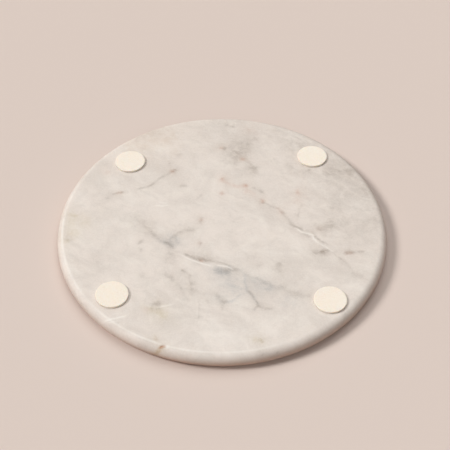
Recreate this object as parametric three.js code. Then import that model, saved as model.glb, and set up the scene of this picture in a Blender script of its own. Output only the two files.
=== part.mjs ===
// Round marble cheese board, lying on its serving face with its four felt feet up.
// Millimetres, +Z up. The origin is the centre of the serving face, and -Y is the near side.
import * as THREE from "three";

// Driving dimensions of the stone slab
const BOARD_DIAMETER = 300;
const BOARD_THICKNESS = 14;
const RIM_INSET = 7; // how far the flat faces stop short of the widest line of the rim
const RIM_STEPS = 7; // each step turns the rim by two short facets
const BOARD_SIDES = 120;

// Driving dimensions of the stick-on feet
const PAD_DIAMETER = 28.5;
const PAD_THICKNESS = 1.7;
const PAD_EDGE_ROUND = 0.3;
const PAD_EDGE_STEPS = 2;
const PAD_SIDES = 48;
const ADHESIVE_THICKNESS = 0.3;
const ADHESIVE_SETBACK = 0.1; // the adhesive stops this far inside the felt's edge

// The feet are placed by hand: the direction of each from the centre in degrees, and how much flat
// stone is left between its edge and the rim.
const FEET = [
  { corner: "back_left", direction: 137.1, margin: 7.9 },
  { corner: "back_right", direction: 45.4, margin: 4 },
  { corner: "front_left", direction: 221.3, margin: 3.2 },
  { corner: "front_right", direction: 315.8, margin: 0.6 },
];

// Sizes that follow from the driving ones
const flatRadius = BOARD_DIAMETER / 2 - RIM_INSET;
const padRadius = PAD_DIAMETER / 2;
const adhesiveRadius = padRadius - ADHESIVE_SETBACK;
const adhesiveLevel = BOARD_THICKNESS;
const padLevel = adhesiveLevel + ADHESIVE_THICKNESS;

const marble = new THREE.MeshStandardMaterial({ color: 0xe2d9ce, roughness: 0.35, metalness: 0 });
const felt = new THREE.MeshStandardMaterial({ color: 0xf7ecdd, roughness: 0.95, metalness: 0 });
const adhesive = new THREE.MeshStandardMaterial({ color: 0xe9e2d2, roughness: 0.5, metalness: 0 });

// A solid of revolution about +Z, from an outline of radius against height that runs from the axis
// below to the axis above.
function revolve(outline, steps, sides) {
  return new THREE.LatheGeometry(outline.getPoints(steps), sides).rotateX(Math.PI / 2);
}

// The slab: two flat faces joined by a bullnose rim, half an ellipse that runs smoothly into both.
function slabGeometry() {
  const halfThickness = BOARD_THICKNESS / 2;
  const quarterTurn = Math.PI / 2;
  const outline = new THREE.Path();
  outline.moveTo(0, 0);
  outline.lineTo(flatRadius, 0);
  outline.absellipse(flatRadius, halfThickness, RIM_INSET, halfThickness, -quarterTurn, quarterTurn);
  outline.lineTo(0, BOARD_THICKNESS);
  return revolve(outline, RIM_STEPS, BOARD_SIDES);
}

// A die-cut felt disc: flat where it is glued, with its walking edge worn round.
function padGeometry() {
  const crown = padRadius - PAD_EDGE_ROUND;
  const outline = new THREE.Path();
  outline.moveTo(0, 0);
  outline.lineTo(padRadius, 0);
  outline.absarc(crown, PAD_THICKNESS - PAD_EDGE_ROUND, PAD_EDGE_ROUND, 0, Math.PI / 2);
  outline.lineTo(0, PAD_THICKNESS);
  return revolve(outline, PAD_EDGE_STEPS, PAD_SIDES);
}

// The disc of adhesive that bonds a felt pad to the stone.
function adhesiveGeometry() {
  const outline = new THREE.Path();
  outline.moveTo(0, 0);
  outline.lineTo(adhesiveRadius, 0);
  outline.lineTo(adhesiveRadius, ADHESIVE_THICKNESS);
  outline.lineTo(0, ADHESIVE_THICKNESS);
  return revolve(outline, 1, PAD_SIDES);
}

function namedMesh(name, geometry, material) {
  const mesh = new THREE.Mesh(geometry, material);
  mesh.name = name;
  return mesh;
}

// One foot: the adhesive on the stone, and the felt on the adhesive.
function footGroup({ corner, direction, margin }) {
  const reach = flatRadius - margin - padRadius;
  const heading = THREE.MathUtils.degToRad(direction);
  const bond = namedMesh(`adhesive_${corner}`, adhesiveGeometry(), adhesive);
  const pad = namedMesh(`felt_pad_${corner}`, padGeometry(), felt);
  bond.position.z = adhesiveLevel;
  pad.position.z = padLevel;
  const foot = new THREE.Group();
  foot.position.set(reach * Math.cos(heading), reach * Math.sin(heading), 0);
  foot.add(bond, pad);
  return foot;
}

const board = new THREE.Group();
board.add(namedMesh("marble_slab", slabGeometry(), marble));
for (const place of FEET) board.add(footGroup(place));

export default board;
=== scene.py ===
"""Round marble cheese board, lying on its serving face with its felt feet up.

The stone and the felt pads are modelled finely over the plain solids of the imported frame, and every
surface gets a procedural finish. Lengths are metres, except where a name ends in _mm or _MM.
"""

import logging
import math
from collections.abc import Iterator
from contextlib import contextmanager
from dataclasses import dataclass
from enum import Enum

import bpy
import numpy as np
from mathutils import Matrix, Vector, noise

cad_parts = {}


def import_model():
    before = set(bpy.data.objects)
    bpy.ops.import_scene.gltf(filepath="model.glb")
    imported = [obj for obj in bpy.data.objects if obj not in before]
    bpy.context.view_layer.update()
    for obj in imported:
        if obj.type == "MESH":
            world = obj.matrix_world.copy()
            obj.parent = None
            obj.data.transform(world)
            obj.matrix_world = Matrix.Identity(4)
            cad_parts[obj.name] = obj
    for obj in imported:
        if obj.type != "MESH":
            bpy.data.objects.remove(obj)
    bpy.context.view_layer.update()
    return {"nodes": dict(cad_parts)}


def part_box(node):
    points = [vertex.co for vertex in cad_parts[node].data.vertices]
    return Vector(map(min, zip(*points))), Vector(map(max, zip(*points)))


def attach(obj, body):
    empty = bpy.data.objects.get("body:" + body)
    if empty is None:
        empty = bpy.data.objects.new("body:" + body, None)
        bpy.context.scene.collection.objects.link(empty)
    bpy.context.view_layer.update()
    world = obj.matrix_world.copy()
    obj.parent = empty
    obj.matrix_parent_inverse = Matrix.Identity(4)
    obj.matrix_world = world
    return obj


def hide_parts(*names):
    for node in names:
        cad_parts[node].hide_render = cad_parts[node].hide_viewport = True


LOG = logging.getLogger("cheese_board")
BODY = "root"
CORNERS = ("back_left", "back_right", "front_left", "front_right")
FIRST_PAD_SEED = 20.0
PAD_SEED_STEP = 13
MM = 0.001

Point = tuple[float, float]
Triple = tuple[float, float, float]
Colour = tuple[float, float, float, float]
Socket = bpy.types.NodeSocket


def srgb(red: int, green: int, blue: int) -> Colour:
    """Turns a colour as written on a screen into a shader's linear colour, by the sRGB standard.

    Args:
        red: Red level, 0 to 255.
        green: Green level, 0 to 255.
        blue: Blue level, 0 to 255.

    Returns:
        The linear colour with full alpha.
    """
    linear = []
    for level in (red, green, blue):
        share = level / 255
        linear.append(share / 12.92 if share <= 0.04045 else ((share + 0.055) / 1.055) ** 2.4)
    return (linear[0], linear[1], linear[2], 1.0)


def smooth(low: float, high: float, value: np.ndarray) -> np.ndarray:
    """Eases from 0 at low to 1 at high."""
    share = np.clip((value - low) / (high - low), 0.0, 1.0)
    return share * share * (3 - 2 * share)


def noise_at(points: np.ndarray, size: float, seed: float, octaves: int = 3) -> np.ndarray:
    """Samples smooth noise at points.

    Args:
        points: One point per row, in any unit.
        size: Length of one lump of the noise, in the same unit.
        seed: Shift that tells one noise from another.
        octaves: How many finer layers are added.

    Returns:
        One value per point, about -1 to 1.
    """
    weakening = 1.0
    lacunarity = 2.0
    shift = Vector((seed, 2 * seed, 3 * seed))
    values = [noise.fractal(Vector(p) / size + shift, weakening, lacunarity, octaves) for p in points]
    return np.array(values)


def share_at(points: np.ndarray, size: float, seed: float, octaves: int = 3) -> np.ndarray:
    """Samples the noise of noise_at, moved to about 0 to 1."""
    return 0.5 + 0.5 * noise_at(points, size, seed, octaves)


def read_points(mesh: bpy.types.Mesh) -> np.ndarray:
    """Reads a mesh's vertices, one per row."""
    flat = np.empty(len(mesh.vertices) * 3)
    mesh.vertices.foreach_get("co", flat)
    return flat.reshape(-1, 3)


def write_points(mesh: bpy.types.Mesh, points: np.ndarray) -> None:
    """Writes a mesh's vertices back."""
    mesh.vertices.foreach_set("co", points.ravel())
    mesh.update()


@dataclass(frozen=True)
class Pattern:
    """A noise texture, and how its values are eased from one span to another.

    Attributes:
        scale: Lumps per metre.
        detail: Layers of finer noise.
        rough: How strong the finer layers are.
        bend: How far the noise bends itself.
        low: Value of the noise where the easing starts.
        high: Value of the noise where it ends.
        start: Result at low.
        end: Result at high.
        most: Share of a colour that it lays on where it is 1.
    """

    scale: float
    detail: float
    rough: float
    bend: float = 0.0
    low: float = 0.0
    high: float = 1.0
    start: float = 0.0
    end: float = 1.0
    most: float = 1.0


class NodeTree:
    """The node tree of a new material, with short calls that add nodes and join them."""

    # Places of the colours among the sockets of a mix node
    MIX_UNDER = 6
    MIX_OVER = 7
    MIX_RESULT = 2

    def __init__(self, name: str) -> None:
        """Starts a material that holds only its surface shader."""
        self.material = bpy.data.materials.new(name)
        self.material.use_nodes = True
        self.tree = self.material.node_tree
        self.shader = self.tree.nodes["Principled BSDF"]
        self.place = self.add("ShaderNodeTexCoord").outputs["Object"]

    def add(self, kind: str, **settings: object) -> bpy.types.Node:
        """Adds a node and sets its properties."""
        node = self.tree.nodes.new(kind)
        for name, value in settings.items():
            setattr(node, name, value)
        return node

    def feed(self, socket: Socket, value: object) -> None:
        """Joins an output to a socket, or sets the socket to a plain value."""
        if isinstance(value, Socket):
            self.tree.links.new(value, socket)
        else:
            socket.default_value = value

    def fill(self, node: bpy.types.Node, values: dict[str | int, object]) -> bpy.types.Node:
        """Feeds inputs of a node, each by its name or place."""
        for key, value in values.items():
            self.feed(node.inputs[key], value)
        return node

    def turned(self, angle: float, stretch: Triple) -> Socket:
        """Turns a pattern about Z by an angle, drawn out along its own axes by the stretch."""
        node = self.add("ShaderNodeMapping", vector_type="TEXTURE")
        self.fill(node, {"Vector": self.place, "Rotation": (0, 0, angle), "Scale": stretch})
        return node.outputs["Vector"]

    def noise(self, place: Socket, pattern: Pattern) -> Socket:
        """Adds the pattern's noise before any easing, about 0 to 1."""
        node = self.add("ShaderNodeTexNoise")
        self.fill(node, {"Vector": place, "Scale": pattern.scale, "Detail": pattern.detail})
        self.fill(node, {"Roughness": pattern.rough, "Distortion": pattern.bend})
        return node.outputs["Fac"]

    def span(
        self, value: Socket, low: float, high: float, start: float = 0.0, end: float = 1.0
    ) -> Socket:
        """Eases a number from one span to another.

        Args:
            value: The number to read.
            low: Where the span starts.
            high: Where the span ends.
            start: Result at low.
            end: Result at high.

        Returns:
            The eased number.
        """
        node = self.add("ShaderNodeMapRange", interpolation_type="SMOOTHSTEP")
        self.fill(node, {"Value": value, "From Min": low, "From Max": high})
        self.fill(node, {"To Min": start, "To Max": end})
        return node.outputs["Result"]

    def eased(self, value: Socket, pattern: Pattern) -> Socket:
        """Eases a noise in the pattern's way."""
        return self.span(value, pattern.low, pattern.high, pattern.start, pattern.end)

    def drawn(self, place: Socket, pattern: Pattern) -> Socket:
        """Adds the pattern's noise and eases it."""
        return self.eased(self.noise(place, pattern), pattern)

    def math(self, operation: str, first: object, second: object) -> Socket:
        """Joins two numbers by a named operation."""
        node = self.add("ShaderNodeMath", operation=operation)
        return self.fill(node, {0: first, 1: second}).outputs[0]

    def mix(self, share: object, under: object, over: object) -> Socket:
        """Blends two colours, from under at share 0 to over at share 1."""
        node = self.add("ShaderNodeMix", data_type="RGBA")
        self.fill(node, {0: share, self.MIX_UNDER: under, self.MIX_OVER: over})
        return node.outputs[self.MIX_RESULT]

    def tint(self, colour: object, over: Colour, where: Socket, most: float) -> Socket:
        """Lays a colour over another where a number says, up to a share of it at 1."""
        return self.mix(self.math("MULTIPLY", where, most), colour, over)

    def bump(self, height: Socket, depth: float, strength: float) -> None:
        """Raises the surface's shading by a height, over any bump that is there already."""
        node = self.add("ShaderNodeBump")
        self.fill(node, {"Distance": depth, "Strength": strength, "Height": height})
        target = self.shader.inputs["Normal"]
        if target.is_linked:
            self.feed(node.inputs["Normal"], target.links[0].from_socket)
        self.feed(target, node.outputs["Normal"])


class Mineral(Enum):
    """What colours a vein, and the column of its strength in the slab's table of minerals."""

    GRAPHITE = 0
    IRON = 1
    CALCITE = 2
    SLATE = 3
    OCHRE = 4

    def vein(self, breadth_mm: float, strength: float, *path_mm: Point) -> "Vein":
        """Lays a vein of this mineral."""
        return Vein(self, breadth_mm, strength, path_mm)


@dataclass(frozen=True)
class Vein:
    """One streak, stain or sealed crack of the stone, as it shows on the underside.

    Attributes:
        mineral: What colours it.
        breadth_mm: Distance from its middle at which it has faded to about a third.
        strength: How strongly it colours the stone, 0 to 1.
        path_mm: Points that it runs through, or a single point for a spot.
    """

    # Breadth below which a vein is too narrow for the plain mesh
    FINE_MM = 1.7
    # How far a vein wanders, at least and for each unit of its breadth
    STRAY_MM = 0.35
    STRAY_PER_BREADTH = 0.45
    # A vein is a core and a faint halo, which is broader
    CORE = 0.82
    HALO = 0.18
    HALO_BREADTH = 3
    # Share of its length over which each end fades, its strength there, and what the middle adds
    FADE = 0.15
    END = 0.4
    MIDDLE = 0.6

    mineral: Mineral
    breadth_mm: float
    strength: float
    path_mm: tuple[Point, ...]

    @property
    def fine(self) -> bool:
        """Whether it is too narrow for the plain mesh."""
        return self.breadth_mm < self.FINE_MM

    def reach(self, points_mm: np.ndarray) -> tuple[np.ndarray, np.ndarray]:
        """Measures how far points lie from the path.

        Args:
            points_mm: One point per row, seen from above.

        Returns:
            The distance of each point, and how far along the path its nearest place is, 0 to 1.
        """
        path = np.array(self.path_mm, float)
        if len(path) == 1:
            return np.linalg.norm(points_mm - path[0], axis=1), np.full(len(points_mm), 0.5)
        lengths = np.linalg.norm(np.diff(path, axis=0), axis=1)
        distance = np.full(len(points_mm), np.inf)
        along = np.zeros(len(points_mm))
        done = 0.0
        for start, end, length in zip(path[:-1], path[1:], lengths):
            offset = points_mm - start
            share = np.clip(offset @ (end - start) / length**2, 0, 1)
            gap = np.linalg.norm(offset - share[:, None] * (end - start), axis=1)
            nearer = gap < distance
            distance = np.where(nearer, gap, distance)
            along = np.where(nearer, (done + share * length) / lengths.sum(), along)
            done += length
        return distance, along

    def weight(self, points_mm: np.ndarray, stray: np.ndarray) -> np.ndarray:
        """Gives the vein's strength at points.

        Args:
            points_mm: One point per row, seen from above.
            stray: Unit shifts that make the vein wander, more so where it is broad.

        Returns:
            Its strength, fading to its sides and its two ends.
        """
        stray_mm = self.STRAY_MM + self.STRAY_PER_BREADTH * self.breadth_mm
        distance, along = self.reach(points_mm + stray_mm * stray)
        side = self.CORE * np.exp(-((distance / self.breadth_mm) ** 2))
        side += self.HALO * np.exp(-((distance / self.breadth_mm / self.HALO_BREADTH) ** 2))
        ends = smooth(0.0, self.FADE, along) * smooth(0.0, self.FADE, 1 - along)
        return self.strength * side * (self.END + self.MIDDLE * ends)


# Each call gives a vein's breadth, its strength and the points of its path
grey = Mineral.GRAPHITE.vein
rust = Mineral.IRON.vein
white = Mineral.CALCITE.vein
blue = Mineral.SLATE.vein
yellow = Mineral.OCHRE.vein

VEINS = (
    # Rosy start of the long vein at the middle
    rust(1.7, 0.34, (0, 58), (4, 54), (9, 50), (15, 48), (22, 49)),
    rust(1.9, 0.70, (0, 58.5)),
    grey(1.7, 0.12, (0, 58.5)),
    rust(1.8, 0.75, (21, 48.5), (23, 50)),
    grey(1.8, 0.20, (22, 49.5)),
    rust(3.2, 0.26, (20, 45), (26, 41), (33, 36)),
    rust(1.7, 0.58, (38, 32), (37, 27)),
    grey(2.0, 0.64, (36, 27), (39, 28)),
    grey(1.5, 0.62, (29, 48), (34, 44), (39, 40)),
    rust(1.9, 0.80, (-1, 40.5), (1, 40)),
    grey(1.7, 0.36, (0, 40)),
    # Thin grey stretch that runs on to the right rim
    grey(1.4, 0.44, (39, 28), (45, 23), (52, 20), (55, 16), (58, 10), (61, 4), (66, -1)),
    rust(2.2, 0.25, (51, 21), (56, 13)),
    grey(1.1, 0.85, (61, 1), (68, -4), (74, -8)),
    grey(1.1, 0.95, (80, -10), (83.5, -12.5), (84.5, -16.5), (88, -21), (94, -25)),
    grey(1.0, 0.40, (76, -8), (82, -9.5), (85, -12)),
    grey(2.4, 0.50, (73, -12), (80, -15.5)),
    white(0.7, 0.90, (66, -4.5), (72, -9.5), (79, -12), (82, -14), (82, -17.5), (85, -22), (88, -24.5)),
    white(0.7, 0.62, (88, -24.5), (93, -28), (99, -34)),
    grey(1.6, 0.35, (95, -31), (102, -38), (105, -44), (109, -48), (113, -55)),
    grey(2.6, 0.35, (112, -58), (122, -64), (128, -67)),
    grey(2.3, 0.66, (81, -36), (84, -33.5)),
    grey(2.7, 0.92, (86, -34), (91, -33), (95, -31)),
    grey(1.6, 0.80, (108, -36), (113, -34.5), (118, -34)),
    grey(1.1, 0.42, (116, -34), (127, -33.5)),
    rust(1.7, 0.24, (109, -36), (117, -34)),
    grey(4.6, 0.64, (84, -9), (94, -5), (104, 1)),
    rust(4.0, 0.10, (84, -8), (92, -4)),
    # Sealed crack left of the middle, with its grey shadow
    grey(5.0, 0.22, (-76, 8), (-67, -3), (-64, -8)),
    grey(1.7, 0.44, (-66, -6), (-61, -14), (-55, -20)),
    blue(3.0, 0.50, (-56, -19), (-49, -22.5), (-43, -28)),
    grey(3.6, 0.38, (-51, -21), (-43, -23)),
    blue(4.0, 0.50, (-48, -21), (-43, -19), (-42, -25)),
    grey(1.6, 0.35, (-54, -20), (-48, -23), (-43, -28)),
    grey(2.0, 0.42, (-45, -20), (-43, -14), (-38, -10), (-30, -7), (-21, -6)),
    grey(4.5, 0.40, (-44, -26), (-46, -36), (-47, -50)),
    grey(1.1, 0.90, (-33, -36), (-28, -39), (-24, -42), (-18, -44)),
    grey(2.6, 0.62, (-29, -38.5), (-22, -40.5), (-16, -42), (-8, -43)),
    rust(1.3, 0.42, (-20, -44), (-17, -44)),
    white(0.7, 0.90, (-35, -37.5), (-29, -42), (-22, -45.5), (-15, -48), (-8, -50.5)),
    grey(1.2, 0.55, (-19, -42), (-9, -44), (0, -47), (6, -50), (13, -54)),
    white(0.7, 0.80, (-5, -49), (3, -50.5), (9, -54)),
    grey(1.8, 0.60, (0, -54), (7, -55), (15, -55.5)),
    # Blue-grey band that leaves the crack
    blue(3.8, 0.66, (-8, -56.5), (1, -56.5), (9, -56)),
    grey(3.0, 0.22, (-6, -57), (8, -57)),
    blue(2.8, 0.46, (0, -58), (1, -64)),
    blue(9.0, 0.32, (2, -64), (8, -72), (4, -82)),
    blue(2.2, 0.22, (14, -55), (24, -62), (34, -67.5), (45, -73), (56, -78)),
    grey(2.2, 0.22, (16, -56), (24, -62), (34, -67.5), (45, -73), (56, -78), (72, -85)),
    blue(3.4, 0.30, (24, -65), (35, -71), (48, -76)),
    blue(3.0, 0.30, (24, -76), (34, -76), (44, -75)),
    grey(3.2, 0.26, (46, -74), (58, -79), (70, -84), (79, -86)),
    grey(4.5, 0.20, (60, -82), (72, -86), (80, -90)),
    blue(7.0, 0.20, (52, -88), (63, -92)),
    # Net of fine veins in front of the band
    grey(1.0, 0.55, (21, -77), (24, -81), (27, -87), (30, -92), (33, -97)),
    blue(1.4, 0.36, (21, -78), (24, -82), (28, -88), (31, -94)),
    grey(1.4, 0.44, (31, -95), (37, -97.5), (43, -98)),
    blue(1.3, 0.30, (21, -79), (15, -83), (11, -88), (7, -90), (2, -91)),
    blue(1.2, 0.34, (20, -60), (19.5, -68), (21, -77)),
    blue(1.2, 0.28, (7, -71), (14, -75), (21, -77)),
    grey(2.6, 0.42, (-5, -79), (-4, -85)),
    grey(2.2, 0.62, (-4, -85), (0, -89), (4, -91.5)),
    blue(3.6, 0.30, (-6, -82), (0, -89)),
    grey(1.3, 0.36, (0, -92), (0, -100)),
    grey(1.3, 0.45, (26, -99), (31, -94)),
    grey(1.2, 0.80, (-36, -54.5), (-32, -58.5)),
    grey(1.5, 0.26, (-33, -57), (-29, -62), (-27, -71), (-25, -79)),
    grey(1.6, 0.40, (-29, -61), (-28, -63.5)),
    grey(1.6, 0.36, (-27, -70.5)),
    grey(1.7, 0.48, (-51, -57), (-46, -62), (-41, -68)),
    grey(1.7, 0.40, (-44, -65), (-42, -68)),
    grey(8.0, 0.22, (-34, -74), (-22, -84)),
    grey(1.4, 0.42, (-40, -70), (-36, -73), (-35, -77)),
    grey(1.4, 0.42, (-26, -75), (-21, -80), (-14, -84)),
    grey(1.4, 0.34, (-14, -88), (-11, -93)),
    grey(2.0, 0.28, (-34, -87), (-28, -85)),
    grey(1.0, 0.28, (-20, -88), (-20, -108)),
    grey(1.1, 0.60, (-20, -106.5)),
    grey(2.6, 0.50, (31.5, -51)),
    grey(3.0, 0.42, (51, -45), (48, -53), (50, -60)),
    # Cloud near the back
    grey(11.0, 0.50, (14, 78), (17, 97), (26, 109)),
    grey(18.0, 0.17, (-24, 124), (24, 128)),
    grey(2.4, 0.42, (11, 98), (16, 94)),
    grey(3.6, 0.36, (12, 95), (18, 96)),
    grey(2.8, 0.30, (14, 90), (17, 100)),
    grey(1.8, 0.62, (21, 105)),
    rust(2.2, 0.55, (20, 86)),
    grey(2.5, 0.85, (0, 102), (4, 100.5)),
    rust(1.9, 0.50, (-1, 102)),
    grey(2.6, 0.34, (33, 114)),
    grey(1.8, 0.40, (48, 118.5)),
    grey(1.8, 0.65, (32, 75.5), (30, 72.5)),
    grey(5.0, 0.42, (27, 80), (32, 66)),
    grey(1.9, 0.70, (4.5, 136)),
    grey(1.7, 0.70, (10, 134.5), (14, 134.5)),
    rust(4.0, 0.30, (30, 128)),
    # Darker towards the back right, and veins there
    grey(34.0, 0.36, (66, 110), (112, 68), (132, 20), (128, -24)),
    grey(3.6, 0.66, (97, 65), (108, 69), (118, 71), (126, 71)),
    grey(2.2, 0.32, (122, 65)),
    grey(1.6, 0.95, (84, 72), (83.5, 69.5)),
    grey(4.0, 0.34, (131, 48), (139, 36)),
    grey(9.0, 0.18, (76, 24), (84, 33)),
    grey(14.0, 0.24, (64, 114), (90, 112)),
    grey(1.6, 0.34, (99, 20), (108, 19)),
    rust(1.7, 0.50, (71, 45), (71.5, 36.5)),
    rust(6.0, 0.14, (64, 28), (80, 36)),
    grey(1.2, 0.30, (70, 7), (71, 18), (75, 27)),
    # Dashes and spots at the left
    grey(1.3, 0.55, (-80, 45), (-74, 47), (-69, 49), (-65, 53), (-61, 58), (-57, 62)),
    grey(1.1, 0.36, (-58, 61), (-52, 65), (-46, 70)),
    grey(2.1, 0.60, (-48, 68), (-44, 72)),
    rust(2.1, 0.40, (-47, 69.5)),
    grey(2.2, 0.32, (-41, 93.5)),
    grey(1.7, 0.40, (-50, 80.5)),
    grey(1.2, 0.62, (-104, 39), (-98, 40.5), (-92, 41)),
    rust(1.5, 0.35, (-100, 40), (-94, 41)),
    grey(1.7, 0.48, (-107, 34.5)),
    grey(1.5, 0.55, (-40, 49.5), (-33, 49.5)),
    grey(1.6, 0.50, (-19.5, 10), (-19.5, 2)),
    rust(1.9, 0.42, (-19.5, 6)),
    grey(1.4, 0.22, (-25, 30), (-18, 39)),
    grey(1.9, 0.60, (-20, -23.5)),
    rust(1.9, 0.24, (-20, -23.5)),
    grey(1.7, 0.70, (-75, -23), (-72, -20)),
    grey(2.2, 0.60, (-74, -31.5), (-72, -30.5)),
    grey(2.8, 0.42, (-69, -60)),
    grey(5.0, 0.24, (-115, -31), (-108, -48)),
    grey(2.0, 0.18, (-139, -19.5), (-135, -17.5)),
    yellow(3.0, 0.20, (-139, -19)),
    grey(8.0, 0.30, (-92, 14), (-78, 4), (-69, -8)),
    rust(2.6, 0.34, (-110, 69)),
    # Warm stains
    rust(20.0, 0.12, (-98, 100), (-72, 116), (-42, 124)),
    yellow(20.0, 0.12, (-98, 100), (-72, 116), (-42, 124)),
    yellow(9.0, 0.24, (-141, 12), (-134, 2), (-140, -18)),
    yellow(1.8, 0.40, (-143, 13), (-132, 11.5)),
    yellow(3.0, 0.20, (-127, 2), (-121, 7)),
    yellow(5.0, 0.40, (-63, -97), (-50, -103)),
    yellow(4.5, 0.30, (-52, -104), (-46, -106)),
    rust(2.4, 0.14, (-67, -98), (-62, -99)),
    grey(2.6, 0.66, (-61, -92.5), (-52, -92)),
    grey(1.6, 0.40, (-61, -98), (-52, -97.5)),
    yellow(2.6, 0.56, (24, -129.5), (34.5, -131.5)),
    grey(2.3, 0.34, (28, -130.5), (34.5, -131.5)),
    yellow(2.2, 0.36, (-57, -127), (-54, -131)),
    rust(1.9, 0.16, (-56, -128), (-54, -131)),
    grey(1.9, 0.22, (-55, -129)),
    # Rusty chip in the rim at the front left, with the stain that runs from it and a painted highlight
    # on its right edge
    rust(1.2, 0.84, (-50.5, -137.8), (-46.5, -136.2)),
    yellow(1.6, 0.80, (-50.5, -138.2), (-47, -136.6)),
    grey(1.2, 1.00, (-50, -137.5), (-47, -136.5)),
    # Painted highlight on the chip's right edge
    white(1.4, 0.85, (-44.5, -135.5), (-45.5, -138.5)),
    yellow(1.8, 0.66, (-50, -139), (-52, -143), (-53, -148)),
    rust(1.6, 0.20, (-50, -139), (-52, -143), (-53, -148)),
    # Specks on the front rim
    grey(0.9, 0.80, (34, -145.4)),
    grey(1.0, 0.45, (46.5, -142.4)),
    # Paler patches at the front and at both sides
    white(16.0, 0.34, (-30, -132), (28, -124)),
    white(14.0, 0.17, (128, 2), (121, 38)),
    white(13.0, 0.24, (-110, 3), (-101, -4)),
    # White scratches
    white(0.9, 1.00, (-99, -110.5), (-89, -107), (-80, -104.5)),
    white(0.6, 0.45, (-95, -112), (-87, -110)),
    white(0.6, 0.35, (-93, -104), (-86, -101)),
    white(0.7, 0.60, (-55, -96), (-50, -95), (-42, -93)),
    white(0.8, 0.62, (-62, 24), (-55, 24), (-49, 25)),
    white(0.7, 0.46, (-59, 28), (-50, 28)),
    white(0.7, 0.35, (-21, -90), (-21, -106)),
)


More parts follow.
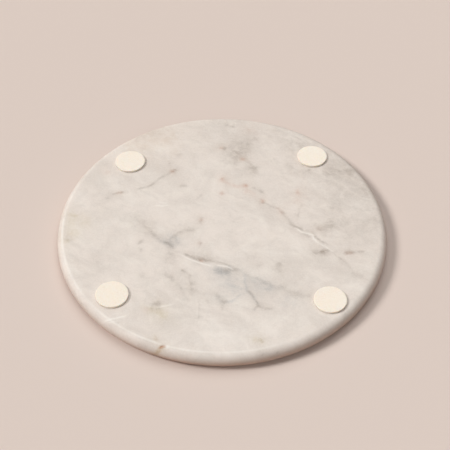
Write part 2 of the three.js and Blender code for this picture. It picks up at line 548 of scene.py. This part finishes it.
@dataclass(frozen=True)
class MarbleFinish:
    """Honed warm white marble.

    Attributes:
        cream: Colour of the plain stone.
        pale: Colour of its clearer patches.
        smoke: Colour of its clouds.
        graphite: Colour of its grey veins.
        slate: Colour of its blue-grey band.
        rust: Colour of its iron stains.
        ochre: Colour of its yellow stains.
        calcite: Colour of its sealed cracks and its grain, and of the painted highlight along the rim's
            edge.
        flow: Direction in which the clouds are drawn out, in radians.
        stretch: How far they are drawn out along and across the flow.
        clear: Where the stone is clearer.
        clouds: Where it is cloudy.
        mottle: Its finer smudges.
        wisps: What breaks the veins up.
        grain: Its crystals.
        gloss: How rough its surface is.
        tooth: The finest unevenness of its surface.
        stain_share: Most that the blue, yellow and rusty veins show.
        graphite_share: Most that the grey veins show.
        calcite_share: Most that the sealed cracks show.
        arris_centre: Centre of the painted highlight's line, set off the middle so that the line lies
            further out at the left than in front.
        arris_radius: Radius of the painted highlight's line.
        arris_core: Distance from the line up to which it is palest.
        arris_reach: Distance from the line at which it has faded.
        arris_heading: Direction in which the painted highlight is strongest.
        arris_start: Share of the radius, in that direction, at which the painted highlight starts.
        arris_full: Share of the radius at which it is full.
        arris_breaks: What breaks the line up.
        arris_highlight_strength: How pale the painted highlight is, 0 to 1.
    """

    cream: Colour = srgb(228, 217, 207)
    pale: Colour = srgb(234, 225, 215)
    smoke: Colour = srgb(205, 194, 184)
    graphite: Colour = srgb(151, 136, 123)
    slate: Colour = srgb(148, 153, 156)
    rust: Colour = srgb(190, 137, 106)
    ochre: Colour = srgb(182, 161, 106)
    calcite: Colour = srgb(248, 242, 234)
    flow: float = math.radians(-32)
    stretch: Triple = (1.25, 0.9, 1.0)
    clear: Pattern = Pattern(scale=30, detail=5, rough=0.6, bend=0.8, low=0.42, high=0.7, most=0.8)
    clouds: Pattern = Pattern(
        scale=24, detail=7, rough=0.66, bend=0.7, low=0.38, high=0.72, most=0.62
    )
    mottle: Pattern = Pattern(
        scale=85, detail=8, rough=0.7, bend=0.9, low=0.42, high=0.72, most=0.42
    )
    wisps: Pattern = Pattern(
        scale=140, detail=5, rough=0.58, bend=0.8, low=0.3, high=0.7, start=0.55, end=1.4
    )
    grain: Pattern = Pattern(scale=700, detail=4, rough=0.65, low=0.35, high=0.7, end=0.16)
    gloss: Pattern = Pattern(scale=60, detail=4, rough=0.6, low=0.3, high=0.7, start=0.54, end=0.68)
    tooth: Pattern = Pattern(scale=1400, detail=3, rough=0.6)
    stain_share: float = 0.66
    graphite_share: float = 0.64
    calcite_share: float = 0.6
    arris_centre: Point = (-1.2 * MM, 0.8 * MM)
    arris_radius: float = 143.9 * MM
    arris_core: float = 0.2 * MM
    arris_reach: float = 1.6 * MM
    arris_heading: float = math.radians(222)
    arris_start: float = 0.1
    arris_full: float = 0.8
    arris_breaks: Pattern = Pattern(
        scale=40, detail=5, rough=0.65, low=0.36, high=0.56, start=0.4, end=1.0
    )
    arris_highlight_strength: float = 0.36

    def painted_arris_highlight(self, tree: NodeTree) -> Socket:
        """Gives the painted highlight, a pale line where the flat faces run into the rim, at the left
        and in front.
        """
        shift = (-self.arris_centre[0], -self.arris_centre[1], 0)
        level = tree.add("ShaderNodeVectorMath", operation="MULTIPLY_ADD")
        tree.fill(level, {0: tree.place, 1: (1, 1, 0), 2: shift})
        reach = tree.add("ShaderNodeVectorMath", operation="LENGTH")
        tree.feed(reach.inputs[0], level.outputs["Vector"])
        gap = tree.add("ShaderNodeMath", operation="ABSOLUTE")
        tree.feed(gap.inputs[0], tree.math("SUBTRACT", reach.outputs["Value"], self.arris_radius))
        line = tree.span(gap.outputs[0], self.arris_core, self.arris_reach, start=1.0, end=0.0)
        heading = (math.cos(self.arris_heading), math.sin(self.arris_heading), 0)
        side = tree.add("ShaderNodeVectorMath", operation="DOT_PRODUCT")
        tree.fill(side, {0: tree.place, 1: heading})
        start = self.arris_start * self.arris_radius
        full = self.arris_full * self.arris_radius
        # Keeps the painted highlight to the front left, where light catches the rim
        lit_side = tree.span(side.outputs["Value"], start, full)
        broken = tree.drawn(tree.place, self.arris_breaks)
        return tree.math("MULTIPLY", tree.math("MULTIPLY", line, lit_side), broken)

    def material(self) -> bpy.types.Material:
        """Builds the stone's material, which reads the slab's two attributes of colour."""
        tree = NodeTree("honed_marble")
        place = tree.turned(self.flow, self.stretch)
        marbling = tree.add("ShaderNodeAttribute", attribute_name=Slab.MARBLING)
        split = tree.add("ShaderNodeSeparateColor")
        tree.feed(split.inputs[0], marbling.outputs["Color"])
        graphite, iron, calcite = split.outputs
        slate = marbling.outputs["Alpha"]
        ochre = tree.add("ShaderNodeAttribute", attribute_name=Slab.STAINING).outputs["Fac"]
        colour = self.cream
        tones = ((self.clear, self.pale), (self.clouds, self.smoke), (self.mottle, self.smoke))
        for pattern, tone in tones:
            colour = tree.tint(colour, tone, tree.drawn(place, pattern), pattern.most)
        wisps = tree.drawn(place, self.wisps)
        veins = (
            (ochre, self.ochre, self.stain_share),
            (slate, self.slate, self.stain_share),
            (graphite, self.graphite, self.graphite_share),
            (iron, self.rust, self.stain_share),
        )
        for vein, stain, most in veins:
            share = tree.math("MULTIPLY", tree.math("MULTIPLY", vein, most), wisps)
            colour = tree.mix(share, colour, stain)
        colour = tree.tint(colour, self.calcite, calcite, self.calcite_share)
        colour = tree.mix(tree.drawn(tree.place, self.grain), colour, self.calcite)
        # Painted highlight: a pale line along the rim's edge, at the left and in front
        colour = tree.tint(colour, self.calcite, self.painted_arris_highlight(tree), self.arris_highlight_strength)
        surface = {
            "Base Color": colour,
            "Roughness": tree.drawn(tree.place, self.gloss),
            "Subsurface Weight": 0.12,
            "Subsurface Radius": (1.0, 0.85, 0.7),
            "Subsurface Scale": 3 * MM,
            "Specular IOR Level": 0.28,
        }
        tree.fill(tree.shader, surface)
        tree.bump(tree.noise(tree.place, self.tooth), depth=0.02 * MM, strength=0.35)
        tree.bump(calcite, depth=0.15 * MM, strength=0.6)
        return tree.material


@dataclass(frozen=True)
class FeltFinish:
    """Cream pressed wool felt.

    Attributes:
        wool: Main colour.
        shade: Colour between the fibres.
        lint: Colour of the loose fibres on top.
        matting: The matted wool.
        lumps: Its denser places.
        fibres: One layer of loose fibres.
        fibre_headings: Direction of each layer of fibres, in degrees.
        fibre_stretch: How far the fibres are drawn out along and across themselves.
    """

    wool: Colour = srgb(249, 236, 221)
    shade: Colour = srgb(244, 229, 211)
    lint: Colour = srgb(254, 247, 237)
    matting: Pattern = Pattern(scale=700, detail=5, rough=0.65, bend=1.2, low=0.35, high=0.65)
    lumps: Pattern = Pattern(scale=160, detail=4, rough=0.6, low=0.4, high=0.7, end=0.4)
    fibres: Pattern = Pattern(
        scale=1700, detail=3, rough=0.6, bend=0.4, low=0.52, high=0.78, end=0.5
    )
    fibre_headings: tuple[float, ...] = (15, 75, 135)
    fibre_stretch: Triple = (6.0, 1.0, 2.0)

    def material(self) -> bpy.types.Material:
        """Builds the felt's material from matted wool and layers of loose fibres."""
        tree = NodeTree("pressed_felt")
        matted = tree.noise(tree.place, self.matting)
        layers = []
        for degrees in self.fibre_headings:
            strands = tree.turned(math.radians(degrees), self.fibre_stretch)
            layers.append(tree.noise(strands, self.fibres))
        fibres = layers[0]
        for layer in layers[1:]:
            fibres = tree.math("MAXIMUM", fibres, layer)
        colour = tree.mix(tree.eased(matted, self.matting), self.shade, self.wool)
        colour = tree.mix(tree.drawn(tree.place, self.lumps), colour, self.wool)
        colour = tree.mix(tree.eased(fibres, self.fibres), colour, self.lint)
        surface = {
            "Base Color": colour,
            "Roughness": 0.95,
            "Specular IOR Level": 0.2,
            "Subsurface Weight": 0.4,
            "Subsurface Radius": (1.0, 0.8, 0.6),
            "Subsurface Scale": 1.5 * MM,
            "Sheen Weight": 0.25,
            "Sheen Roughness": 0.6,
        }
        tree.fill(tree.shader, surface)
        tree.bump(matted, depth=0.10 * MM, strength=0.4)
        tree.bump(fibres, depth=0.08 * MM, strength=0.45)
        return tree.material


@dataclass(frozen=True)
class AdhesiveFinish:
    """Milky double-sided film.

    Attributes:
        film: Colour of the film.
        cloudy: Colour where air is caught in it.
        air: Where that is.
        film_roughness: How rough the film is.
        cloudy_roughness: How rough it is over the air.
    """

    film: Colour = srgb(226, 217, 198)
    cloudy: Colour = srgb(240, 234, 222)
    air: Pattern = Pattern(scale=500, detail=4, rough=0.6, low=0.45, high=0.65)
    film_roughness: float = 0.3
    cloudy_roughness: float = 0.5

    def material(self) -> bpy.types.Material:
        """Builds the film's material."""
        tree = NodeTree("adhesive_film")
        air = tree.drawn(tree.place, self.air)
        colour = tree.mix(air, self.film, self.cloudy)
        roughness = tree.span(air, 0.0, 1.0, self.film_roughness, self.cloudy_roughness)
        tree.fill(tree.shader, {"Base Color": colour, "Roughness": roughness})
        return tree.material


def disc_from_grid(name: str, cells: int, radius: float, height: float) -> bpy.types.Object:
    """Adds a grid and draws it out to a flat round disc about the Z axis.

    Args:
        name: Name of the new object.
        cells: Cells along each side of the grid.
        radius: Radius of the disc.
        height: Level of the disc.

    Returns:
        The disc, active and in object mode.
    """
    bpy.ops.object.select_all(action="DESELECT")
    bpy.ops.mesh.primitive_grid_add(
        x_subdivisions=cells, y_subdivisions=cells, size=2, location=(0, 0, 0)
    )
    disc = bpy.context.object
    disc.name = name
    points = read_points(disc.data)
    # The grid runs from -1 to 1, and each square about its centre becomes a circle
    x = points[:, 0].copy()
    y = points[:, 1].copy()
    points[:, 0] = radius * x * np.sqrt(1 - y * y / 2)
    points[:, 1] = radius * y * np.sqrt(1 - x * x / 2)
    points[:, 2] = height
    write_points(disc.data, points)
    return disc


@contextmanager
def edit_mode() -> Iterator[None]:
    """Holds the active object in edit mode."""
    bpy.ops.object.mode_set(mode="EDIT")
    yield
    bpy.ops.object.mode_set(mode="OBJECT")


def select_open_edge() -> None:
    """In edit mode, selects only the open edge of the mesh."""
    bpy.ops.mesh.select_mode(type="EDGE")
    bpy.ops.mesh.select_all(action="DESELECT")
    bpy.ops.mesh.select_non_manifold(
        extend=False,
        use_wire=False,
        use_boundary=True,
        use_multi_face=False,
        use_non_contiguous=False,
        use_verts=False,
    )


def sweep_open_edge(outline: list[Point]) -> None:
    """In edit mode, extrudes the selected round edge from ring to ring about the Z axis.

    Args:
        outline: Radius and height of each ring, with the edge's own ring first.
    """
    for (radius, height), (next_radius, next_height) in zip(outline[:-1], outline[1:]):
        drop = (0, 0, next_height - height)
        bpy.ops.mesh.extrude_region_move(TRANSFORM_OT_translate={"value": drop})
        grow = next_radius / radius
        bpy.ops.transform.resize(value=(grow, grow, 1), center_override=(0, 0, 0))


@dataclass
class Slab:
    """The round stone, from its serving face to the underside that the feet are stuck to.

    Attributes:
        node: The solid that it stands for.
        rim_inset: How far the flat faces stop short of the widest line of the rim.
        rim_steps: Facets from the flat face to the widest line.
        cells: Cells across the flat face.
        dip: How far a vein shifts sideways for each unit that it goes down through the stone.
        wander: How far the veins stray from their paths.
        fray: How ragged the veins are.
        hollow: Depth of the shallow waves that the grinding left.
        crack_depth: Depth of the sealed cracks.
        crack_margin: How far short of the rim they stop being sunken.
        chip_depth: Depth of the rusty chip in the rim.
        chip_rust: Strength of the rust where the chip starts and where it is deepest.
    """

    MARBLING = "marbling"
    STAINING = "staining"
    # The first four minerals fill the channels of a colour, and the last has its own attribute
    MARBLING_CHANNELS = 4
    # Lump lengths and seeds of the noises, with two seeds where a noise has two directions
    WANDER_MM = 9
    WANDER_SEEDS = (3.1, 7.7)
    FRAY_MM = 2.6
    FRAY_SEEDS = (11.3, 15.9)
    HOLLOW_MM = 46
    HOLLOW_SEED = 5.2
    # Distance within which the two halves of the mesh join
    MERGE_GAP = 0.01 * MM
    # The mesh is finer near narrow veins, above this share of the thickness
    FINE_LEVEL = 0.6
    FINE_MARGIN_MM = 2.2
    FINE_CUTS = 2

    node: str = "marble_slab"
    rim_inset: float = 7 * MM
    rim_steps: int = 10
    cells: int = 160
    dip: Point = (0.55, -0.4)
    wander: float = 1.0
    fray: float = 0.45
    hollow: float = 0.06 * MM
    crack_depth: float = 0.18 * MM
    crack_margin: float = 3 * MM
    chip_depth: float = 0.5 * MM
    chip_rust: Point = (0.55, 0.95)

    def __post_init__(self) -> None:
        """Takes the overall sizes from the solid."""
        low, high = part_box(self.node)
        self.radius = (high.x - low.x) / 2
        self.thickness = high.z - low.z
        self.flat_radius = self.radius - self.rim_inset

    def rim_outline(self) -> list[Point]:
        """Gives the rings of the rim, from the flat face down to the widest line at height 0."""
        half = self.thickness / 2
        angles = [math.pi / 2 * (1 - step / self.rim_steps) for step in range(self.rim_steps + 1)]
        return [(self.flat_radius + self.rim_inset * math.cos(a), half * math.sin(a)) for a in angles]

    def shape(self) -> bpy.types.Object:
        """Models half the slab, mirrors it, and refines it along the narrow veins."""
        slab = disc_from_grid("marble_board", self.cells, self.flat_radius, self.thickness / 2)
        with edit_mode():
            select_open_edge()
            sweep_open_edge(self.rim_outline())
        mirror = slab.modifiers.new("other_half", "MIRROR")
        mirror.use_axis = (False, False, True)
        mirror.merge_threshold = self.MERGE_GAP
        bpy.ops.object.modifier_apply(modifier=mirror.name)
        with edit_mode():
            bpy.ops.mesh.select_all(action="SELECT")
            bpy.ops.mesh.normals_make_consistent(inside=False)
            bpy.ops.transform.translate(value=(0, 0, self.thickness / 2))
        self.refine(slab)
        return slab

    def refine(self, slab: bpy.types.Object) -> None:
        """Subdivides the upper faces that a narrow vein crosses."""
        mesh = slab.data
        centres = np.array([face.center for face in mesh.polygons])
        above = centres[:, 2] > self.thickness * self.FINE_LEVEL
        near = np.zeros(len(centres), bool)
        for vein in VEINS:
            if vein.fine:
                distance, _ = vein.reach(centres[:, :2] / MM)
                near |= distance < self.FINE_MARGIN_MM + vein.breadth_mm
        with edit_mode():
            bpy.ops.mesh.select_mode(type="FACE")
            bpy.ops.mesh.select_all(action="DESELECT")
        mesh.polygons.foreach_set("select", near & above)
        with edit_mode():
            bpy.ops.mesh.subdivide(number_cuts=self.FINE_CUTS)

    def marbling(self, points: np.ndarray) -> np.ndarray:
        """Works out the strength of each mineral at points of the slab.

        Args:
            points: One point per row, in metres.

        Returns:
            One row of numbers per point, in the order of the minerals.
        """
        depth = self.thickness - points[:, 2]
        seen = points[:, :2] + depth[:, None] * np.array(self.dip)
        bends = [noise_at(points / MM, self.WANDER_MM, seed) for seed in self.WANDER_SEEDS]
        tatters = [noise_at(points / MM, self.FRAY_MM, seed) for seed in self.FRAY_SEEDS]
        stray = self.wander * np.stack(bends, axis=1) + self.fray * np.stack(tatters, axis=1)
        clear = np.ones((len(points), len(Mineral)))
        for vein in VEINS:
            clear[:, vein.mineral.value] *= 1 - vein.weight(seen / MM, stray)
        return 1 - clear

    def relieve(self, points: np.ndarray, minerals: np.ndarray) -> np.ndarray:
        """Sinks the waves of the grinding, the sealed cracks and the chip into the stone.

        Args:
            points: One point per row, in metres.
            minerals: Strength of each mineral at each point.

        Returns:
            The points, moved inwards.
        """
        reach = np.hypot(points[:, 0], points[:, 1])
        on_rim = reach > self.flat_radius
        wave = share_at(points / MM, self.HOLLOW_MM, self.HOLLOW_SEED)
        crack = minerals[:, Mineral.CALCITE.value] * (reach < self.flat_radius - self.crack_margin)
        chip = smooth(*self.chip_rust, minerals[:, Mineral.IRON.value]) * on_rim
        sink = self.hollow * np.clip(wave, 0, 1) + self.crack_depth * crack + self.chip_depth * chip
        up = 2 * points[:, 2] / self.thickness - 1
        out = points[:, :2] / np.maximum(reach, MM)[:, None]
        moved = points.copy()
        moved[:, 2] -= np.where(points[:, 2] > self.thickness / 2, sink, 0) * np.maximum(up, 0)
        moved[:, :2] -= (on_rim * sink * (1 - np.abs(up)))[:, None] * out
        return moved

    def build(self, finish: MarbleFinish) -> bpy.types.Object:
        """Builds and dresses the slab."""
        slab = self.shape()
        points = read_points(slab.data)
        minerals = self.marbling(points)
        write_points(slab.data, self.relieve(points, minerals))
        layer = slab.data.attributes.new(name=self.MARBLING, type="FLOAT_COLOR", domain="POINT")
        layer.data.foreach_set("color", minerals[:, : self.MARBLING_CHANNELS].ravel())
        layer = slab.data.attributes.new(name=self.STAINING, type="FLOAT", domain="POINT")
        layer.data.foreach_set("value", minerals[:, Mineral.OCHRE.value].copy())
        bpy.ops.object.shade_smooth()
        slab.data.materials.append(finish.material())
        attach(slab, BODY)
        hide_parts(self.node)
        return slab


@dataclass
class FeltPad:
    """One stick-on foot: a die-cut disc of felt.

    Attributes:
        corner: Which of the four feet it is.
        seed: Shift that makes this pad's unevenness its own.
        edge_round: Radius that its upper edge is worn to.
        edge_steps: Facets of that round.
        side_steps: Rings down its side.
        cells: Cells across its face.
        ragged: How uneven the cut edge is.
        nap: How uneven its face is.
        fuzz: Share of both that the finest fibres add.
    """

    # Width of the outer ring of the glued face
    GLUE_INSET = 1.5 * MM
    # Lump lengths of the noises, and the steps from the pad's seed to theirs
    CUT_MM = 4.2
    FUZZ_MM = 0.9
    FUZZ_SEED_STEP = 4
    NAP_MM = 2.4
    NAP_SEED_STEP = 9
    NAP_OCTAVES = 4
    # Share of the radius where the ragged edge starts
    EDGE_BAND = 0.75
    # Shares of the height where the nap starts, and up to which the glue holds the fibres down
    NAP_BAND = 0.55
    GLUE_BAND = 0.3

    corner: str
    seed: float
    edge_round: float = 0.4 * MM
    edge_steps: int = 4
    side_steps: int = 4
    cells: int = 44
    ragged: float = 0.06 * MM
    nap: float = 0.04 * MM
    fuzz: float = 0.4

    def __post_init__(self) -> None:
        """Takes the place and sizes from the solid."""
        self.node = f"felt_pad_{self.corner}"
        low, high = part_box(self.node)
        self.centre = (low + high) / 2
        self.level = low.z
        self.height = high.z - low.z
        self.radius = (high.x - low.x) / 2

    def side_outline(self) -> list[Point]:
        """Gives the rings of the side, from the face's edge down to the glued face."""
        crown = self.radius - self.edge_round
        rings = []
        for step in range(self.edge_steps + 1):
            angle = math.pi / 2 * (1 - step / self.edge_steps)
            radius = crown + self.edge_round * math.cos(angle)
            height = self.height - self.edge_round * (1 - math.sin(angle))
            rings.append((radius, height))
        wall = self.height - self.edge_round
        for step in range(1, self.side_steps + 1):
            rings.append((self.radius, wall * (1 - step / self.side_steps)))
        return rings

    def shape(self) -> bpy.types.Object:
        """Models the pad at the origin and closes its glued face."""
        rings = self.side_outline()
        pad = disc_from_grid(f"felt_foot_{self.corner}", self.cells, *rings[0])
        with edit_mode():
            select_open_edge()
            sweep_open_edge(rings)
            bpy.ops.mesh.edge_face_add()
            bpy.ops.mesh.inset(thickness=self.GLUE_INSET)
            bpy.ops.mesh.select_all(action="SELECT")
            bpy.ops.mesh.normals_make_consistent(inside=False)
        return pad

    def roughen(self, points: np.ndarray) -> np.ndarray:
        """Makes the cut edge ragged and the face uneven, always inwards. The glued face stays flat.

        Args:
            points: One point per row, about the pad's own centre.

        Returns:
            The points, moved.
        """
        reach = np.hypot(points[:, 0], points[:, 1])
        free = smooth(0.0, self.GLUE_BAND * self.height, points[:, 2])
        cut = share_at(points / MM, self.CUT_MM, self.seed)
        tufts = share_at(points / MM, self.FUZZ_MM, self.seed + self.FUZZ_SEED_STEP)
        nap_seed = self.seed + self.NAP_SEED_STEP
        face = share_at(points / MM, self.NAP_MM, nap_seed, self.NAP_OCTAVES)
        moved = points.copy()
        edge = smooth(self.EDGE_BAND * self.radius, self.radius, reach)
        inwards = self.ragged * cut + self.fuzz * self.ragged * tufts * free
        shrink = edge * inwards / np.maximum(reach, MM)
        moved[:, :2] *= (1 - shrink)[:, None]
        top = smooth(self.NAP_BAND * self.height, self.height, points[:, 2])
        moved[:, 2] -= top * (self.nap * face + self.fuzz * self.nap * tufts)
        return moved

    def build(self, material: bpy.types.Material) -> bpy.types.Object:
        """Builds the pad in its place and dresses it."""
        pad = self.shape()
        points = self.roughen(read_points(pad.data))
        points += np.array((self.centre.x, self.centre.y, self.level))
        write_points(pad.data, points)
        bpy.ops.object.shade_smooth()
        pad.data.materials.append(material)
        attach(pad, BODY)
        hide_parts(self.node)
        return pad


def showing_rays(tree: bpy.types.NodeTree) -> Socket:
    """Tells the rays that show a background from those that only light the board.

    Args:
        tree: Node tree of the floor's material or of the world.

    Returns:
        1 for rays from the camera, a reflection or clear glass, and 0 for all others.
    """
    rays = tree.nodes.new("ShaderNodeLightPath")
    seen = rays.outputs["Is Camera Ray"]
    for kind in ("Is Glossy Ray", "Is Transmission Ray"):
        either = tree.nodes.new("ShaderNodeMath")
        either.operation = "MAXIMUM"
        tree.links.new(seen, either.inputs[0])
        tree.links.new(rays.outputs[kind], either.inputs[1])
        seen = either.outputs[0]
    return seen


@dataclass(frozen=True)
class Lamp:
    """A distant soft lamp that lights the whole floor alike.

    Attributes:
        name: Name of the lamp.
        heading: Its direction from the board, in degrees.
        elevation: Its height over the floor, in degrees.
        spread: Angle that it takes up in the sky, in degrees.
        share: Light that it gives a level white surface, where 1 renders as white.
    """

    name: str
    heading: float
    elevation: float
    spread: float
    share: float

    def hang(self) -> None:
        """Adds the lamp to the scene, turned to the board."""
        rise = math.radians(self.elevation)
        turn = math.radians(self.heading)
        level = math.cos(rise)
        place = Vector((level * math.cos(turn), level * math.sin(turn), math.sin(rise)))
        data = bpy.data.lights.new(self.name, "SUN")
        data.angle = math.radians(self.spread)
        data.energy = self.share * math.pi / math.sin(rise)
        lamp = bpy.data.objects.new(self.name, data)
        lamp.location = place
        lamp.rotation_euler = (-place).to_track_quat("-Z", "Y").to_euler()
        bpy.context.scene.collection.objects.link(lamp)


@dataclass
class Studio:
    """The floor, the light and the camera.

    Attributes:
        eye_distance: From the origin to the camera.
        eye_elevation: Height of the camera over the floor, in degrees.
        aim: Point that the camera looks at.
        lens_mm: Focal length of the camera.
        sensor_mm: Width of its sensor.
        floor_size: Length of each side of the floor.
        floor_colour: Colour of the plain floor, as the camera and reflections see it.
        floor_bounce: Colour of the soft light that the floor throws back on the board.
        sky_colour: Colour of the sky's light.
        sky_share: Light that the sky gives a level surface.
        lamps: The lamps at the left and at the back, and a weak one in front.
    """

    eye_distance: float = 0.931
    eye_elevation: float = 47.53
    aim: Triple = (0.0027, 0.0121, 0.0)
    lens_mm: float = 80.8
    sensor_mm: float = 36
    floor_size: float = 12
    floor_colour: Colour = srgb(219, 203, 193)
    floor_bounce: Colour = srgb(180, 138, 114)
    sky_colour: Colour = (1.0, 0.99, 0.975, 1.0)
    sky_share: float = 0.06
    lamps: tuple[Lamp, ...] = (
        Lamp("key", heading=180, elevation=42, spread=18, share=0.45),
        Lamp("back", heading=84, elevation=62, spread=54, share=0.35),
        Lamp("fill", heading=282, elevation=45, spread=60, share=0.145),
    )

    def camera(self) -> None:
        """Places the camera at the viewing angle of the photograph."""
        rise = math.radians(self.eye_elevation)
        data = bpy.data.cameras.new("camera")
        data.lens = self.lens_mm
        data.sensor_width = self.sensor_mm
        camera = bpy.data.objects.new("camera", data)
        camera.location = (0, -self.eye_distance * math.cos(rise), self.eye_distance * math.sin(rise))
        gaze = Vector(self.aim) - camera.location
        camera.rotation_euler = gaze.to_track_quat("-Z", "Y").to_euler()
        bpy.context.scene.collection.objects.link(camera)
        bpy.context.scene.camera = camera

    def floor(self) -> None:
        """Lays a wide plain floor under the board."""
        bpy.ops.object.select_all(action="DESELECT")
        bpy.ops.mesh.primitive_plane_add(size=self.floor_size, location=(0, 0, 0))
        floor = bpy.context.object
        floor.name = "floor"
        tree = NodeTree("plain_floor")
        colour = tree.mix(showing_rays(tree.tree), self.floor_bounce, self.floor_colour)
        surface = {"Base Color": colour, "Roughness": 0.9, "Specular IOR Level": 0.0}
        tree.fill(tree.shader, surface)
        floor.data.materials.append(tree.material)

    def light(self) -> None:
        """Sets the lamps and an even sky."""
        for lamp in self.lamps:
            lamp.hang()
        self.sky()

    def sky(self) -> None:
        """Surrounds the board with an even light, and shows a pale backdrop in its place."""
        world = bpy.data.worlds.new("sky")
        world.use_nodes = True
        tree = world.node_tree
        light = tree.nodes["Background"]
        light.inputs["Color"].default_value = self.sky_colour
        light.inputs["Strength"].default_value = self.sky_share
        backdrop = tree.nodes.new("ShaderNodeBackground")
        backdrop.inputs["Color"].default_value = self.floor_colour
        choice = tree.nodes.new("ShaderNodeMixShader")
        tree.links.new(showing_rays(tree), choice.inputs[0])
        tree.links.new(light.outputs[0], choice.inputs[1])
        tree.links.new(backdrop.outputs[0], choice.inputs[2])
        tree.links.new(choice.outputs[0], tree.nodes["World Output"].inputs["Surface"])
        bpy.context.scene.world = world

    def build(self) -> None:
        """Sets up the whole studio."""
        self.camera()
        self.floor()
        self.light()
        bpy.context.scene.view_settings.view_transform = "Standard"


def main() -> None:
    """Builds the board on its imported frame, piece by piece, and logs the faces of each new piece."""
    logging.basicConfig(level=logging.INFO, format="%(name)s: %(message)s")
    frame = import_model()
    Studio().build()
    slab = Slab().build(MarbleFinish())
    LOG.info("%s: %d faces", slab.name, len(slab.data.polygons))
    felt = FeltFinish().material()
    film = AdhesiveFinish().material()
    for number, corner in enumerate(CORNERS):
        pad = FeltPad(corner, seed=FIRST_PAD_SEED + PAD_SEED_STEP * number).build(felt)
        LOG.info("%s: %d faces", pad.name, len(pad.data.polygons))
        bond = frame["nodes"][f"adhesive_{corner}"]
        bond.data.materials.clear()
        bond.data.materials.append(film)
        LOG.info("%s: film", bond.name)


if __name__ == "__main__":
    main()
